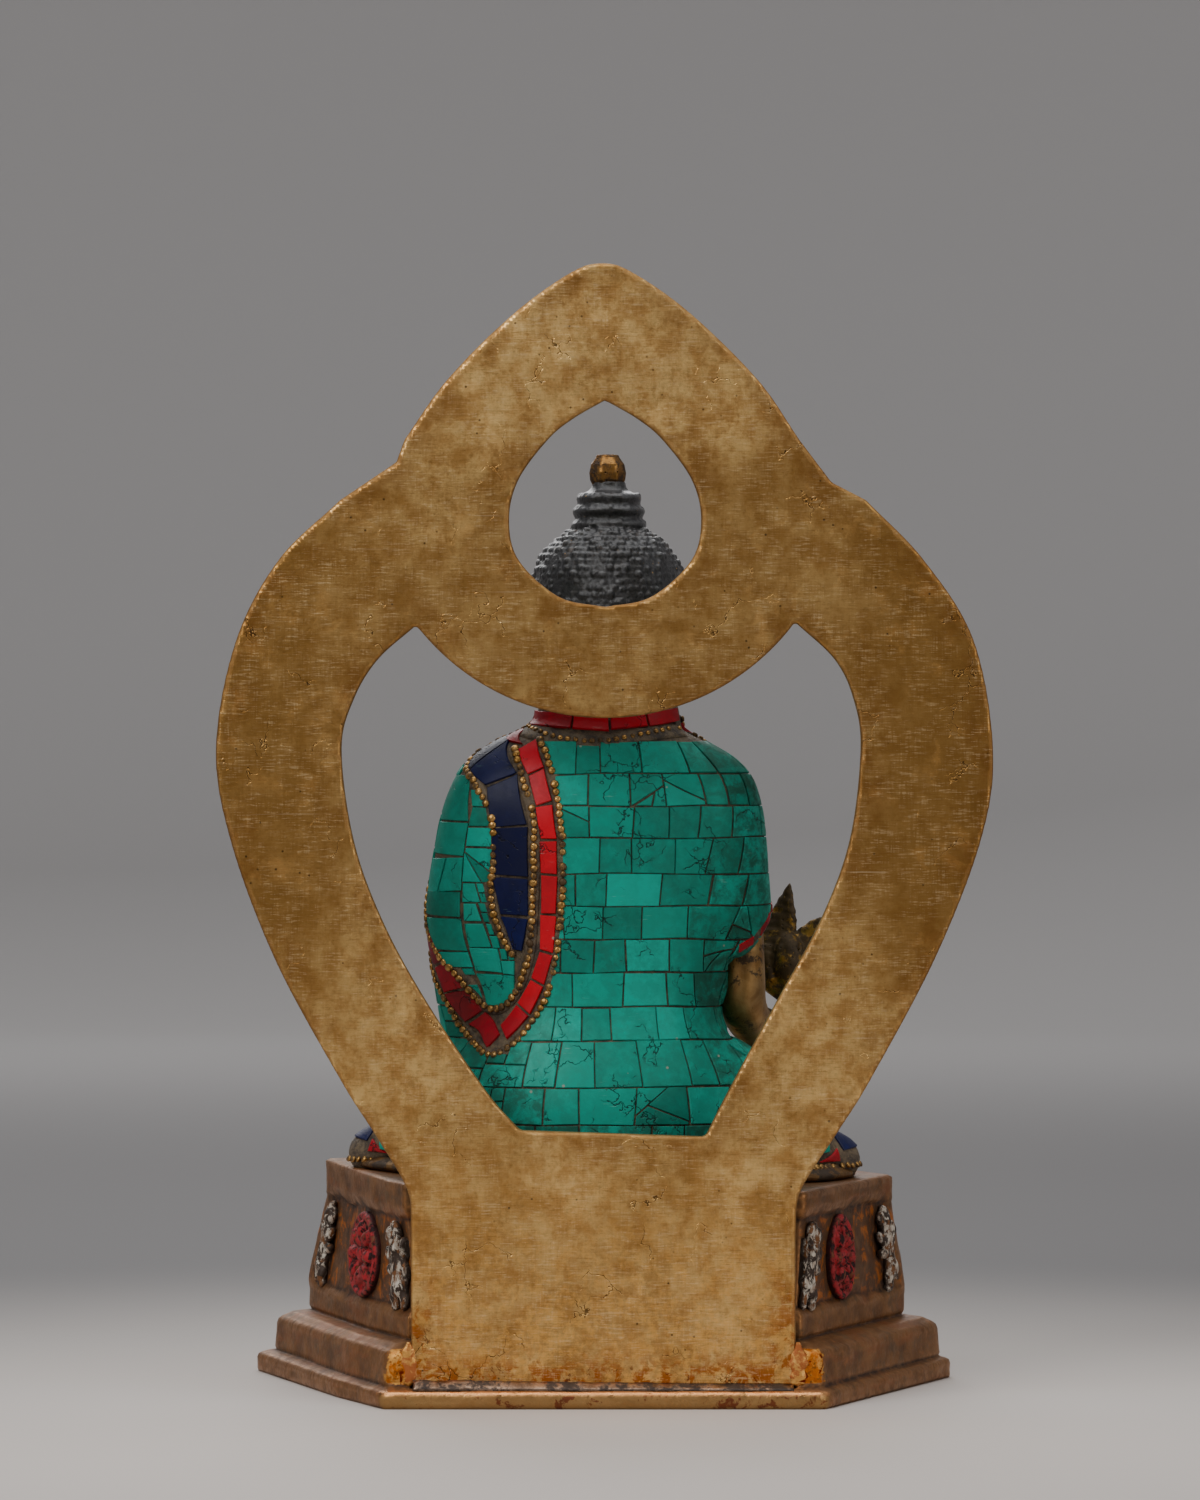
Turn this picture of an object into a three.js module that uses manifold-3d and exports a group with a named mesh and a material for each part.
// Seated medicine buddha on a stepped brass throne, backed by a pierced halo plate.
// Millimetres, +Z up. The figure faces -Y; the origin is the middle of the throne's underside.
import * as THREE from 'three';
import { mergeVertices } from 'three/addons/utils/BufferGeometryUtils.js';
import { LoftGeometry } from 'three/addons/geometries/LoftGeometry.js';
import Module from 'manifold-3d';

const V2 = ( x, y ) => new THREE.Vector2( x, y );
const V3 = ( x, y, z ) => new THREE.Vector3( x, y, z );

// Driving dimensions

const HEIGHT = 200;
const HALO_BACK_Y = 43;
const HALO_THICKNESS = 3;
const HALO_FRONT_Y = HALO_BACK_Y - HALO_THICKNESS;
const HALO_FOOT_Z = 3.9;
const HALO_FOOT_HALF = 33.8;
const RING_CENTRE_Z = 162;
const RING_RADIUS = 41.5;
const RING_HALF_TURN = 0.927;
const OUTER_RIM = { inset: 2, width: 1.2, proud: 0.9 };
const INNER_RIM = { inset: 1.8, width: 1.0, proud: 0.8 };
const RELIEF_SINK = 0.3;
const LEAF = { radius: 3.2, proud: 1.3 };
const LEDGE_BACK_Y = 46;
const LEDGE_FRONT_Y = - 46;
const SEAT_Z = 38.2;
const SEAT_LEAN = 0.021;
const PANEL_LOW_Z = 16.5;
const PANEL_HIGH_Z = 33.0;
const PANEL_DEPTH = 1.4;
const MEDALLION_RADIUS = 7.6;
const MEDALLION_Z = 24.5;
const PETALS = 6;
const GAP = 0.3;
const STONE_DEPTH = 1.0;
const STONE_JOINT = 0.5;
const BAND_EDGE = 0.9;
const BACK_FROM_Y = 12;
const BACK_TO_Y = 40;

const BRASS = new THREE.Color( 0.62, 0.46, 0.24 );
const BROWN_BRASS = new THREE.Color( 0.36, 0.25, 0.18 );
const TURQUOISE = new THREE.Color( 0.03, 0.52, 0.45 );
const CORAL = new THREE.Color( 0.68, 0.06, 0.11 );
const LAPIS = new THREE.Color( 0.05, 0.07, 0.28 );

// Solids: closed three.js geometry in, joined or cut, and back to a geometry

const wasm = await Module();
wasm.setup();

function solid( geometry ) {

	const bare = new THREE.BufferGeometry();
	bare.setAttribute( 'position', geometry.attributes.position );
	bare.setIndex( geometry.index );
	const merged = mergeVertices( bare, 1e-4 );
	return new wasm.Manifold( new wasm.Mesh( {
		numProp: 3,
		vertProperties: new Float32Array( merged.attributes.position.array ),
		triVerts: new Uint32Array( merged.index.array ),
	} ) );

}

function geometryOf( manifold ) {

	const mesh = manifold.getMesh();
	const geometry = new THREE.BufferGeometry();
	geometry.setAttribute( 'position', new THREE.BufferAttribute( mesh.vertProperties, 3 ) );
	geometry.setIndex( new THREE.BufferAttribute( mesh.triVerts, 1 ) );
	return geometry;

}

const join = ( ...parts ) => parts.reduce( ( whole, part ) => whole.add( part ) );

function loft( sections ) {

	return solid( new LoftGeometry( sections, { capStart: true, capEnd: true } ) );

}

// One level of an upright form: a superellipse from frontY to backY, halfWidth either side of x
function slice( [ z, x, halfWidth, frontY, backY ], sides, grow = 0, squareness = 2.3 ) {

	const centreY = ( frontY + backY ) / 2;
	const halfDepth = ( backY - frontY ) / 2 + grow;
	const power = 2 / squareness;
	const points = [];
	for ( let i = 0; i < sides; i ++ ) {

		const turn = i / sides * Math.PI * 2;
		const c = Math.cos( turn );
		const s = Math.sin( turn );
		points.push( V3(
			x + ( halfWidth + grow ) * Math.sign( c ) * Math.abs( c ) ** power,
			centreY + halfDepth * Math.sign( s ) * Math.abs( s ) ** power,
			z
		) );

	}

	return points;

}

const upright = ( levels, sides, grow, squareness ) =>
	loft( levels.map( ( level ) => slice( level, sides, grow, squareness ) ) );

// A rounded limb through stations [ x, y, z, across, tall ]: "tall" is the radius in the upright plane
function limb( stations, sides = 10, grow = 0 ) {

	const centres = stations.map( ( [ x, y, z ] ) => V3( x, y, z ) );
	const sections = [];
	const addSection = ( centre, along, across, tall ) => {

		const side = V3( 0, 0, 1 ).cross( along );
		if ( side.length() < 0.2 ) side.set( 1, 0, 0 ).addScaledVector( along, - along.x );
		side.normalize();
		const top = along.clone().cross( side );
		const points = [];
		for ( let i = 0; i < sides; i ++ ) {

			const turn = i / sides * Math.PI * 2;
			points.push( centre.clone()
				.addScaledVector( side, Math.cos( turn ) * across )
				.addScaledVector( top, Math.sin( turn ) * tall ) );

		}

		sections.push( points );

	};

	const last = stations.length - 1;
	stations.forEach( ( station, i ) => {

		const across = station[ 3 ] + grow;
		const tall = ( station[ 4 ] ?? station[ 3 ] ) + grow;
		const along = centres[ Math.min( i + 1, last ) ].clone().sub( centres[ Math.max( i - 1, 0 ) ] ).normalize();
		const reach = Math.min( across, tall );
		const addEnd = ( ahead ) => addSection(
			centres[ i ].clone().addScaledVector( along, ahead * reach * 0.75 ), along, across * 0.55, tall * 0.55 );
		if ( i === 0 ) addEnd( - 1 );
		addSection( centres[ i ], along, across, tall );
		if ( i === last ) addEnd( 1 );

	} );
	return loft( sections );

}

function ball( x, y, z, rx, ry = rx, rz = rx, around = 10, rows = 7 ) {

	const geometry = new THREE.SphereGeometry( 1, around, rows );
	geometry.rotateX( Math.PI / 2 );
	geometry.scale( rx, ry, rz );
	geometry.translate( x, y, z );
	return solid( geometry );

}

// A flat outline drawn in x and z, given a thickness from nearY to farY
function slab( outline, nearY, farY, holes = [] ) {

	const shape = new THREE.Shape( outline );
	shape.holes = holes.map( ( hole ) => new THREE.Path( hole ) );
	const geometry = new THREE.ExtrudeGeometry( shape, { depth: farY - nearY, bevelEnabled: false } );
	geometry.rotateX( Math.PI / 2 );
	geometry.translate( 0, farY, 0 );
	return solid( geometry );

}

const spline = ( points, count ) =>
	new THREE.SplineCurve( points.map( ( [ x, z ] ) => V2( x, z ) ) ).getPoints( count );

// Halo plate outlines, [ x, z ]; the two sides differ a little because the casting is finished by hand

const CROWN = [ [ 35.0, 169.1 ], [ 27.5, 179.6 ], [ 16.2, 190.9 ], [ 6, 198.3 ], [ 0.3, HEIGHT ],
	[ - 5, 198.3 ], [ - 14.9, 191.3 ], [ - 26.8, 179.6 ], [ - 34.1, 169.1 ] ];
const NOTCH_LEFT = [ 36.4, 165.2 ];
const NOTCH_RIGHT = [ - 39.7, 161.7 ];
const LOBE_LEFT = [ [ 33.8, 31 ], [ 34.5, 38.1 ], [ 40.1, 47.7 ], [ 46.2, 57.3 ], [ 57.6, 78.3 ], [ 65.4, 99.2 ],
	[ 67.9, 115.5 ], [ 64.4, 134.1 ], [ 57, 148.1 ], [ 46.2, 158.6 ] ];
const LOBE_RIGHT = [ [ - 33.4, 31 ], [ - 34.3, 37.9 ], [ - 40.8, 48.2 ], [ - 46.5, 57.3 ], [ - 57.7, 78.3 ],
	[ - 65.8, 99.2 ], [ - 67.9, 115 ], [ - 64.5, 134.1 ], [ - 55.8, 148.1 ], [ - 45.7, 158.6 ] ];
const WINDOW_LEFT = [ [ 14.8, 48.4 ], [ 20.9, 55.5 ], [ 31.4, 71.3 ], [ 38.9, 85.2 ], [ 43.9, 99.2 ], [ 46, 115 ],
	[ 43.9, 123.7 ], [ 39.7, 130.7 ], [ 33.1, 136.6 ] ];
const WINDOW_RIGHT = [ [ - 33.3, 137.3 ], [ - 40.3, 130.7 ], [ - 43.6, 123.7 ], [ - 44.8, 115 ], [ - 42.9, 99.2 ],
	[ - 37.8, 85.2 ], [ - 29.8, 70.4 ], [ - 21.6, 55.2 ], [ - 17.6, 47.3 ] ];
const HEAD_WINDOW = [ [ - 0.1, 139.9 ], [ 8, 141.7 ], [ 15, 148.1 ], [ 16.7, 155.1 ], [ 15.1, 162.1 ], [ 10, 169.1 ],
	[ 5.6, 172.8 ], [ - 0.1, 176.1 ] ];

// Where the front's scroll runs: up the middle of each lobe, and over the head window in an arch
const LOBE_MIDDLE = [ [ 42, 58 ], [ 50, 78 ], [ 55.5, 99 ], [ 57, 116 ], [ 52.5, 134 ], [ 44, 147 ] ];
const CROWN_LEAVES = { reach: 26, z: 158, rise: 27 };

// The lower edge of the ring round the head, from left to right between the two body window sides
function ringArc( count ) {

	const points = [];
	for ( let i = 1; i < count; i ++ ) {

		const turn = - Math.PI / 2 + RING_HALF_TURN * ( 2 * i / count - 1 );
		points.push( V2( Math.cos( turn ) * RING_RADIUS, RING_CENTRE_Z + Math.sin( turn ) * RING_RADIUS ) );

	}

	return points;

}

// Moves a run of points sideways, to its left where shift is positive
const inward = ( points, shift ) => points.map( ( p, i ) => {

	const before = points[ Math.max( i - 1, 0 ) ];
	const after = points[ Math.min( i + 1, points.length - 1 ) ];
	const along = after.clone().sub( before ).normalize();
	return V2( p.x - along.y * shift, p.y + along.x * shift );

} );

// A half-round moulding laid on the front of the plate beside every second point of an outline
function moulding( outline, rim, side ) {

	const points = inward( outline, side * rim.inset ).filter( ( p, i ) => i % 2 === 0 );
	return limb( points.map( ( p ) => [ p.x, HALO_FRONT_Y + RELIEF_SINK, p.y, rim.proud, rim.width ] ), 4 );

}

// One boss of the carved scroll on the plate's front
const haloLeaf = ( x, z ) =>
	ball( x, HALO_FRONT_Y + RELIEF_SINK, z, LEAF.radius, LEAF.proud, LEAF.radius, 5, 3 );

function makeHalo() {

	const footY = ( [ x ] ) => V2( x, HALO_FOOT_Z );
	const crown = spline( CROWN, 16 );
	const lobeLeft = spline( LOBE_LEFT, 14 );
	const lobeRight = spline( LOBE_RIGHT, 14 );
	const outline = [ footY( LOBE_LEFT[ 0 ] ), ...lobeLeft, V2( ...NOTCH_LEFT ), ...crown,
		V2( ...NOTCH_RIGHT ), ...lobeRight.slice().reverse(), footY( LOBE_RIGHT[ 0 ] ) ];
	const windowLeft = spline( WINDOW_LEFT, 12 );
	const windowRight = spline( WINDOW_RIGHT, 12 );
	const bodyWindow = [ ...windowLeft, ...ringArc( 12 ).reverse(), ...windowRight ];
	const headLeft = spline( HEAD_WINDOW, 10 );
	const headRight = headLeft.slice( 1, - 1 ).reverse().map( ( p ) => V2( - 0.2 - p.x, p.y ) );
	const headWindow = [ ...headLeft, ...headRight ];
	const plate = slab( outline, HALO_FRONT_Y, HALO_BACK_Y, [ bodyWindow, headWindow ] );
	const rims = [
		moulding( crown, OUTER_RIM, 1 ),
		moulding( lobeLeft.slice( 3 ), OUTER_RIM, 1 ),
		moulding( lobeRight.slice( 3 ), OUTER_RIM, - 1 ),
		moulding( windowLeft, INNER_RIM, - 1 ),
		moulding( windowRight, INNER_RIM, - 1 ),
		moulding( ringArc( 12 ), INNER_RIM, 1 ),
		moulding( headLeft, INNER_RIM, - 1 ),
		moulding( headRight, INNER_RIM, - 1 ),
	];
	const leaves = [];
	const lobeMiddle = spline( LOBE_MIDDLE, 5 );
	for ( const p of lobeMiddle ) leaves.push( haloLeaf( p.x, p.y ), haloLeaf( - p.x, p.y ) );
	for ( let i = 0; i < 5; i ++ ) {

		const turn = Math.PI * ( 0.14 + 0.18 * i );
		const { reach, z, rise } = CROWN_LEAVES;
		leaves.push( haloLeaf( Math.cos( turn ) * reach, z + Math.sin( turn ) * rise ) );

	}

	return join( plate, ...rims, ...leaves );

}

// Throne plan: half widths at the back corners, the wide side corners (left, right) and the front corners

const LEDGE = { back: 38.7, backY: LEDGE_BACK_Y, left: 64.2, right: 63.5, front: 41, frontY: LEDGE_FRONT_Y };
const STEP = { back: 38, backY: HALO_BACK_Y, left: 60.9, right: 61.2, front: 39, frontY: - 43 };
const DADO_FOOT = { back: 34.6, backY: 39.7, left: 54.9, right: 55.0, front: 35, frontY: - 38.5 };
const DADO_HEAD = { back: 35.4, backY: 39.7, left: 51.6, right: 52.4, front: 33.5, frontY: - 36 };
const WIDE_Y_LEFT = - 15;
const WIDE_Y_RIGHT = - 7;
const STEP_TOP_Z = 11.5;

// The seven corners of one level, counter-clockwise from the front; dip lowers the right corner
function plan( outline, z, inset = 0, dip = 0, lean = 0 ) {

	const { backY, frontY } = outline;
	const back = outline.back - inset * 0.6;
	const front = outline.front - inset * 0.6;
	const left = outline.left - inset;
	const bend = 0.3;
	const corners = [
		[ - front, frontY + inset, z ],
		[ front, frontY + inset, z ],
		[ left, WIDE_Y_LEFT, z + dip * 0.3 ],
		[ THREE.MathUtils.lerp( back, left, bend ) + 1.2, THREE.MathUtils.lerp( backY, WIDE_Y_LEFT, bend ), z ],
		[ back, backY - inset, z ],
		[ - back, backY - inset, z ],
		[ inset - outline.right, WIDE_Y_RIGHT, z - dip ],
	];
	return corners.map( ( [ x, y, height ] ) => V3( x, y, height + x * lean ) );

}

// Places a shape on one of the throne's sloping panels: across from one corner to the next, up, and out
function panelFrame( from, to ) {

	const across = to.clone().sub( from ).setZ( 0 );
	const length = across.length();
	across.normalize();
	const out = V3( across.y, - across.x, 0 );
	return ( share, z ) => {

		const matrix = new THREE.Matrix4().makeBasis( across, V3( 0, 0, 1 ), out );
		const at = from.clone().addScaledVector( across, share * length ).setZ( z );
		return matrix.setPosition( at );

	};

}

function onPanel( geometry, matrix ) {

	return solid( geometry.clone().applyMatrix4( matrix ) );

}

// A round wheel of petals, facing out along its own z
function medallion( matrix ) {

	const disc = new THREE.CylinderGeometry( MEDALLION_RADIUS, MEDALLION_RADIUS + 0.5, 2.4, 12 );
	disc.rotateX( Math.PI / 2 );
	const petals = [];
	for ( let i = 0; i < PETALS; i ++ ) {

		const petal = new THREE.SphereGeometry( 1, 4, 3 );
		petal.scale( 1.9, 2.1, 1 );
		petal.translate( 0, 4.6, 1 );
		petal.rotateZ( i / PETALS * Math.PI * 2 );
		petals.push( onPanel( petal, matrix ) );

	}

	return join( onPanel( disc, matrix ), ...petals );

}

// A snow lion rearing towards the wheel: haunch, chest with head, and tail, facing out along its own z
function lion( matrix, facing ) {

	const lumps = [
		[ 0, - 4.2, 2.8, 3.4 ], [ 0.9, 2, 2.3, 4 ], [ - 2.3, 2.4, 1.1, 3.2 ],
	];
	return join( ...lumps.map( ( [ x, z, rx, rz ] ) => {

		const lump = new THREE.SphereGeometry( 1, 5, 3 );
		lump.scale( rx, rz, 1.5 );
		lump.translate( x * facing, z, 0.2 );
		return onPanel( lump, matrix );

	} ) );

}

// The room taken by the halo plate and all that is behind it, from lowZ up
function behindPlate( width, lowZ ) {

	const depth = 20;
	const height = 60;
	const block = new THREE.BoxGeometry( width, depth, height );
	block.translate( 0, HALO_FRONT_Y - GAP + depth / 2, lowZ + height / 2 );
	return solid( block );

}

function makeThrone() {

	const top = ( inset ) => plan( DADO_HEAD, SEAT_Z, inset, 0, SEAT_LEAN );
	let throne = loft( [
		plan( LEDGE, 0, 0.5 ),
		plan( LEDGE, 0.6 ),
		plan( LEDGE, 2.7, 0, 0.5 ),
		plan( LEDGE, 3.6, 1.2, 0.6 ),
		plan( STEP, 4.6, 0, 0.6 ),
		plan( STEP, 9.6, 0, 0.9 ),
		plan( STEP, 10.3, 0.6, 0.9 ),
		plan( DADO_FOOT, 11.7, 0, 0.4 ),
		plan( DADO_FOOT, PANEL_LOW_Z - 0.4 ),
		plan( DADO_FOOT, PANEL_LOW_Z, PANEL_DEPTH ),
		plan( DADO_HEAD, PANEL_HIGH_Z, PANEL_DEPTH ),
		plan( DADO_HEAD, PANEL_HIGH_Z + 0.4 ),
		top( 0 ).map( ( p ) => p.setZ( p.z - 0.5 ) ),
		top( 0.5 ),
	] );
	const pocket = behindPlate( 2 * ( HALO_FOOT_HALF + GAP ), HALO_FOOT_Z - GAP );
	throne = throne.subtract( pocket );

	const foot = plan( DADO_FOOT, 0, PANEL_DEPTH );
	const head = plan( DADO_HEAD, 0, PANEL_DEPTH );
	const corners = foot.map( ( p, i ) => p.clone().lerp( head[ i ], 0.5 ) );
	const sides = [ [ 2, 4, 0.59 ], [ 5, 6, 0.41 ], [ 6, 0, 0.5 ], [ 1, 2, 0.5 ], [ 0, 1, 0.5 ] ];
	const reliefs = [];
	for ( const [ start, end, wheelShare ] of sides ) {

		const at = panelFrame( corners[ start ], corners[ end ] );
		const edge = start === 0 ? 0.14 : 0.12;
		reliefs.push( medallion( at( wheelShare, MEDALLION_Z ) ) );
		reliefs.push( lion( at( edge, MEDALLION_Z ), 1 ) );
		reliefs.push( lion( at( 1 - edge, MEDALLION_Z ), - 1 ) );

	}

	const behind = behindPlate( 120, STEP_TOP_Z );
	return join( throne, ...reliefs.map( ( relief ) => relief.subtract( behind ) ) );

}

// The figure. Upright levels are [ z, x, halfWidth, frontY, backY ]; limb stations [ x, y, z, across, tall ]

const TRUNK = [
	[ 41, 0, 27, - 6, 27 ], [ 48, 0, 29, - 8, 28 ], [ 56, 0, 26.2, - 7, 27 ], [ 66, 0, 21.3, - 4, 23.5 ],
	[ 73, 0, 21, - 4, 22.5 ], [ 84, 0.6, 23.2, - 4.6, 22.8 ], [ 98, 0.8, 26, - 5, 24.5 ], [ 104, 0.6, 26.4, - 3.5, 24.5 ],
	[ 109, 0.4, 25, - 1.5, 23.5 ], [ 113, 0.6, 21.5, 0.5, 21.5 ], [ 116.5, 0.4, 16, 2.5, 19.5 ],
	[ 119.5, - 0.2, 9.5, 4, 17 ],
];
const SLEEVE_RIGHT = [ [ - 19.5, 13, 106, 7.5 ], [ - 21.3, 12, 98, 7.8 ], [ - 22.2, 10, 90, 7.8 ],
	[ - 22.8, 8, 84, 7.2 ], [ - 23.6, 7, 80.5, 5.6 ] ];
const SLEEVE_LEFT = [ [ 20, 13, 106, 7.6 ], [ 23, 12, 97, 8.2 ], [ 24.8, 10, 86, 8.2 ], [ 24.3, 8, 76, 7.4 ],
	[ 22.9, 6, 66, 7.1 ], [ 22.2, 1, 60, 6.6 ], [ 17, - 7, 58.5, 5 ], [ 12, - 11, 58, 4 ] ];
const LEG_LEFT = [ [ 13, 12, 54, 11, 11 ], [ 24, 9, 52.5, 10, 10.8 ], [ 30, 6, 51.3, 9, 9.4 ],
	[ 37, 3, 46.4, 7.6, 6.4 ], [ 41.4, 1, 44.6, 5.8, 4.4 ] ];
const SHIN_LEFT = [ [ 37, - 2, 45.6, 6, 4.8 ], [ 24, - 14, 46.8, 6.6, 5.4 ], [ 8, - 22, 46, 6.4, 5 ],
	[ - 8, - 23, 45.6, 5, 4.4 ] ];

const COLLAR_Z = 118.0;
const COLLAR_HEIGHT = 3.4;
const COLLAR_Y = 10;
const COLLAR_OUTER = [ 13.4, 9.4 ];
const COLLAR_INNER = [ 9.6, 6 ];
const COLLAR_STONES = 5;
const COLLAR_PITCH = 0.68;
const COLLAR_SPAN = 0.62;

// Limb stations on the other side of the figure, lowered by drop
const mirrored = ( stations, drop ) =>
	stations.map( ( [ x, y, z, ...radii ] ) => [ - x, y, z - drop, ...radii ] );

// The robe's skin with no limbs that stand clear of it, grown or shrunk to seat the inlay
function robe( grow ) {

	return join(
		upright( TRUNK, 16, grow ),
		limb( SLEEVE_RIGHT, 9, grow ),
		limb( SLEEVE_LEFT, 9, grow )
	);

}

function legs() {

	return join(
		limb( LEG_LEFT, 7 ),
		limb( mirrored( LEG_LEFT, 1.2 ), 7 ),
		limb( SHIN_LEFT, 7 ),
		limb( mirrored( SHIN_LEFT, - 1.6 ), 7 ),
		limb( [ [ 8, - 20, 51, 3.4, 2.2 ], [ 15, - 15, 53, 4, 2.3 ], [ 21, - 10, 54.5, 3.6, 2 ] ], 8 ),
		limb( [ [ - 6, - 17, 50, 3.4, 2.2 ], [ - 13, - 13, 52, 4, 2.3 ], [ - 19, - 9, 53.5, 3.6, 2 ] ], 8 )
	);

}

// The thin plate that the crossed legs are cast on
function seatPlate() {

	const points = [ [ SEAT_Z + GAP, 0.6 ], [ SEAT_Z + 0.9, 0 ], [ SEAT_Z + 2.2, 0 ], [ SEAT_Z + 2.8, 0.8 ] ];
	return loft( points.map( ( [ z, inset ] ) =>
		slice( [ z, - 0.4, 44.2 - inset, - 31 + inset, 28 - inset ], 18 )
			.map( ( p ) => p.setZ( p.z + p.x * SEAT_LEAN ) ) ) );

}

const HEAD_X = - 0.7;
const FACE = [
	[ 120.4, HEAD_X, 4, - 1.5, 8 ], [ 123, HEAD_X, 7.2, - 4.2, 13 ], [ 127, HEAD_X, 9.6, - 5.4, 17 ],
	[ 132, HEAD_X, 11.3, - 6, 19 ], [ 137, HEAD_X, 12.1, - 6.2, 20.5 ], [ 142, HEAD_X, 12.3, - 6, 21.5 ],
	[ 147, HEAD_X, 11.6, - 4.6, 20 ], [ 150, HEAD_X, 9, - 1, 17 ],
];
const HAIR = { y: 9.6, z: 142, rx: 15.5, ry: 14.8, rz: 12.3 };
const TOPKNOT = [ [ 152, 6.2 ], [ 154.4, 7 ], [ 156.6, 6.4 ], [ 157.2, 6.7 ], [ 159.6, 6 ], [ 160.2, 5.9 ],
	[ 162.2, 4.6 ] ];
const JEWEL = [ [ 162, 2.9 ], [ 165.4, 3.4 ], [ 168, 1.9 ] ];

function head() {

	const hairLine = new THREE.BoxGeometry( 60, 60, 30 );
	hairLine.translate( 0, 0, - 15 );
	hairLine.rotateX( - 0.6 );
	hairLine.translate( HEAD_X, - 5, 146 );
	const hair = ball( HEAD_X, HAIR.y, HAIR.z, HAIR.rx, HAIR.ry, HAIR.rz, 12, 7 ).subtract( solid( hairLine ) );
	const round = ( levels, sides ) =>
		upright( levels.map( ( [ z, r ] ) => [ z, HEAD_X - 0.1, r, 9.5 - r, 9.5 + r ] ), sides, 0, 2 );
	const parts = [ upright( FACE, 12, 0, 2.1 ), hair, round( TOPKNOT, 9 ), round( JEWEL, 6 ) ];
	parts.push( limb( [ [ HEAD_X, 10, 113, 7.4 ], [ HEAD_X, 9.5, 124, 6.8 ] ], 9 ) );
	for ( const side of [ - 1, 1 ] ) {

		parts.push( limb( [ [ HEAD_X + side * 12.6, 8, 139, 1.2, 2.2 ], [ HEAD_X + side * 12.6, 7.2, 132, 1, 1.6 ],
			[ HEAD_X + side * 12.2, 6.4, 125.5, 1, 1.8 ] ], 6 ) );
		parts.push( ball( HEAD_X + side * 4.4, - 4.8, 137, 2.4, 1.2, 1, 6, 4 ) );

	}

	parts.push( limb( [ [ HEAD_X, - 5.6, 138.5, 1 ], [ HEAD_X, - 7, 133.6, 1.7, 1.4 ] ], 6 ) );
	parts.push( ball( HEAD_X, - 5.4, 128.8, 2.9, 1.3, 1, 6, 4 ) );
	return join( ...parts );

}

function rightArm() {

	const arm = limb( [ [ - 24, 6.5, 82, 4.2 ], [ - 24.8, 7, 74, 4.3 ], [ - 25.2, 4, 68.2, 4.2 ], [ - 28.5, - 6, 62.5, 3.5 ],
		[ - 31.5, - 15, 58, 2.7 ] ], 8 );
	const palm = limb( [ [ - 32, - 17, 56.5, 3.4, 1.9 ], [ - 32.8, - 21, 52.5, 3.8, 1.7 ] ], 8 );
	const fingers = [ - 1, 0, 1 ].map( ( i ) =>
		limb( [ [ - 32.8 + i * 2.3, - 21, 52.6, 1.2 ], [ - 33.2 + i * 2.5, - 24.4, 45.4, 1 ] ], 5 ) );
	return join( arm, palm, ...fingers );

}

// Fruiting sprig held upright beside the right forearm: a stem, a bud and overlapping leaves
function sprig() {

	const leaf = ( x, z, tilt, length ) => {

		const lean = Math.sin( tilt ) * length;
		const rise = Math.cos( tilt ) * length;
		return limb( [ [ x, - 17, z, 0.9, 1 ], [ x + lean * 0.5, - 17.4, z + rise * 0.55, 1.1, 2.1 ],
			[ x + lean, - 17, z + rise, 0.5, 0.5 ] ], 5 );

	};

	return join(
		limb( [ [ - 32.6, - 18, 57, 1.1 ], [ - 33.6, - 17, 70, 1.3 ] ], 6 ),
		ball( - 34, - 17, 76, 3.2, 2.6, 5, 7, 5 ),
		leaf( - 33.2, 70, 0.55, 10.5 ),
		leaf( - 34, 70, - 0.62, 10 ),
		leaf( - 34.4, 77, - 0.1, 13 ),
		leaf( - 35, 78, - 0.65, 7.5 )
	);

}

function leftHandAndBowl() {

	const bowl = [ [ 57.6, 3.6 ], [ 59, 5.6 ], [ 62.5, 7.4 ], [ 65.2, 7.7 ], [ 65.8, 6.8 ], [ 66.6, 3.4 ] ];
	return join(
		limb( [ [ 12, - 11, 58, 3.4, 3 ], [ 6, - 15, 56.5, 4.4, 2 ], [ - 3, - 17, 55.6, 4, 1.5 ] ], 8 ),
		upright( bowl.map( ( [ z, r ] ) => [ z, 0.5, r, - 16 - r, - 16 + r ] ), 11, 0, 2 )
	);

}

// Inlaid stones on the robe's back: seams between the bands, [ x, z ] as seen from behind

const OUTER_SEAM = [ [ 12.6, 115 ], [ 9.9, 112.9 ], [ 8.2, 105.5 ], [ 7.5, 98.4 ], [ 7.4, 92.4 ], [ 8, 82.1 ],
	[ 9.7, 72.8 ], [ 12.2, 67.3 ], [ 15.7, 62.7 ], [ 19.5, 60.4 ], [ 21.9, 61 ], [ 25.3, 64.6 ], [ 29, 71 ] ];
const MIDDLE_SEAM = [ [ 15.6, 112.8 ], [ 14.6, 110 ], [ 12.7, 103.4 ], [ 12.5, 98 ], [ 12.7, 89.2 ], [ 13.3, 79.3 ],
	[ 14.8, 73.6 ], [ 16.2, 70.8 ], [ 17.6, 69.2 ], [ 19.5, 68.4 ], [ 21.2, 68.9 ], [ 23.4, 70.8 ], [ 26.6, 74.8 ] ];
const INNER_SEAM = [ [ 24.6, 110.6 ], [ 22.8, 108.5 ], [ 20.9, 105 ], [ 19.8, 101.2 ], [ 19.8, 96.8 ], [ 20.2, 89.2 ],
	[ 19.2, 83.6 ], [ 16.6, 78.6 ] ];

// The stretch of robe skin between two depths below its surface
function skin( above, below ) {

	return robe( above ).subtract( robe( - below ) );

}

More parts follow.
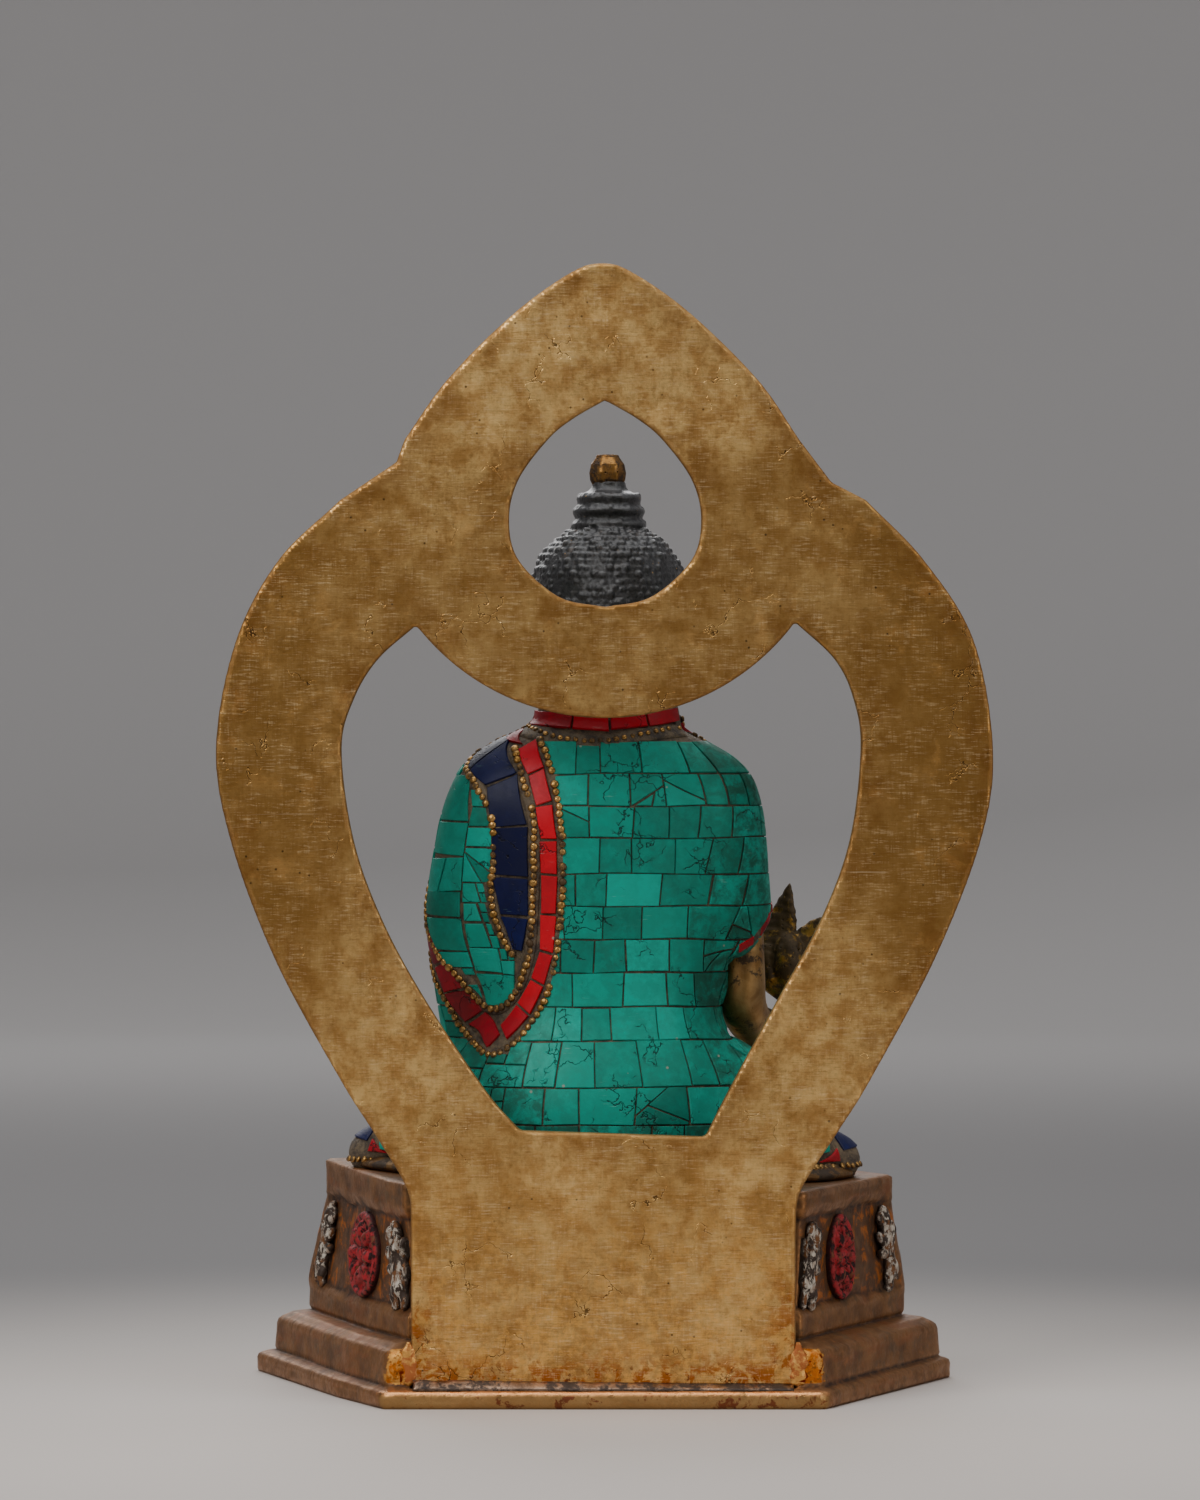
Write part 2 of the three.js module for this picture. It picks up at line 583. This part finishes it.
// A flat outline moved in by shrink and run through the figure's back
function patchPrism( corners, shrink ) {

	const centre = corners.reduce( ( sum, p ) => sum.add( p ), V2( 0, 0 ) ).divideScalar( corners.length );
	const outline = corners.map( ( p ) => {

		const reach = p.clone().sub( centre );
		return centre.clone().addScaledVector( reach.clone().normalize(), reach.length() - shrink );

	} );
	if ( THREE.ShapeUtils.isClockWise( outline ) ) outline.reverse();
	return slab( outline, BACK_FROM_Y, BACK_TO_Y );

}

const seamPoint = ( seam, share ) =>
	new THREE.SplineCurve( seam.map( ( [ x, z ] ) => V2( x, z ) ) ).getPointAt( share );

// Cuts the band between two seams into stones, kept off the seams where the wire beads run
function bandStones( name, innerSeam, outerSeam, count, colour ) {

	const stones = [];
	for ( let i = 0; i < count; i ++ ) {

		const [ low, high ] = [ i / count, ( i + 1 ) / count ];
		const a = seamPoint( innerSeam, low );
		const b = seamPoint( innerSeam, high );
		const c = seamPoint( outerSeam, high );
		const d = seamPoint( outerSeam, low );
		const inset = ( p, q ) => p.clone().lerp( q, BAND_EDGE / p.distanceTo( q ) );
		const corners = [ inset( a, d ), inset( b, c ), inset( c, b ), inset( d, a ) ];
		stones.push( { name: `${ name }_${ i + 1 }`, colour, corners } );

	}

	return stones;

}

const STONES = [
	...bandStones( 'coral_band', OUTER_SEAM, MIDDLE_SEAM, 13, CORAL ),
	...bandStones( 'lapis_band', MIDDLE_SEAM.slice( 0, 6 ), INNER_SEAM, 6, LAPIS ),
];

// One stone of the ring round the neck, grown by margin on all its sides
function collarSector( i, margin, z, height ) {

	const middle = Math.PI / 2 + ( i - ( COLLAR_STONES - 1 ) / 2 ) * COLLAR_PITCH;
	const half = COLLAR_SPAN / 2 + margin / COLLAR_OUTER[ 0 ];
	const steps = 3;
	const rim = ( [ rx, ry ], grow, share ) => {

		const turn = middle + half * ( 2 * share - 1 );
		return V2( HEAD_X + Math.cos( turn ) * ( rx + grow ), COLLAR_Y + Math.sin( turn ) * ( ry + grow ) );

	};

	const points = [];
	for ( let k = 0; k <= steps; k ++ ) points.push( rim( COLLAR_OUTER, margin, k / steps ) );
	for ( let k = steps; k >= 0; k -- ) points.push( rim( COLLAR_INNER, - margin, k / steps ) );
	const geometry = new THREE.ExtrudeGeometry( new THREE.Shape( points ), { depth: height, bevelEnabled: false } );
	return solid( geometry.translate( 0, 0, z ) );

}

function makeFigure() {

	let figure = join( robe( 0 ), legs(), seatPlate(), rightArm(), sprig(), leftHandAndBowl() );
	const proud = 3;
	const bed = skin( proud, STONE_DEPTH + GAP );
	for ( const { corners } of STONES )
		figure = figure.subtract( patchPrism( corners, - GAP ).intersect( bed ) );
	figure = join( figure, head() );
	const clearance = 6;
	for ( let i = 0; i < COLLAR_STONES; i ++ )
		figure = figure.subtract( collarSector( i, GAP, COLLAR_Z - GAP, COLLAR_HEIGHT + clearance ) );
	return figure;

}

// The whole

const group = new THREE.Group();

function addMesh( name, manifold, color, roughness, metalness ) {

	const material = new THREE.MeshStandardMaterial( { color, roughness, metalness } );
	const mesh = new THREE.Mesh( geometryOf( manifold ), material );
	mesh.name = name;
	group.add( mesh );

}

addMesh( 'throne_base', makeThrone(), BROWN_BRASS, 0.5, 0.8 );
addMesh( 'halo_frame', makeHalo(), BRASS, 0.35, 1 );
addMesh( 'buddha_figure', makeFigure(), TURQUOISE, 0.4, 0.2 );
const stoneLayer = skin( 0, STONE_DEPTH );
for ( const { name, corners, colour } of STONES ) {

	const stone = patchPrism( corners, STONE_JOINT / 2 ).intersect( stoneLayer );
	addMesh( name, stone, colour, 0.4, 0 );

}

for ( let i = 0; i < COLLAR_STONES; i ++ )
	addMesh( `collar_coral_${ i + 1 }`, collarSector( i, 0, COLLAR_Z, COLLAR_HEIGHT ), CORAL, 0.4, 0 );

export default group;
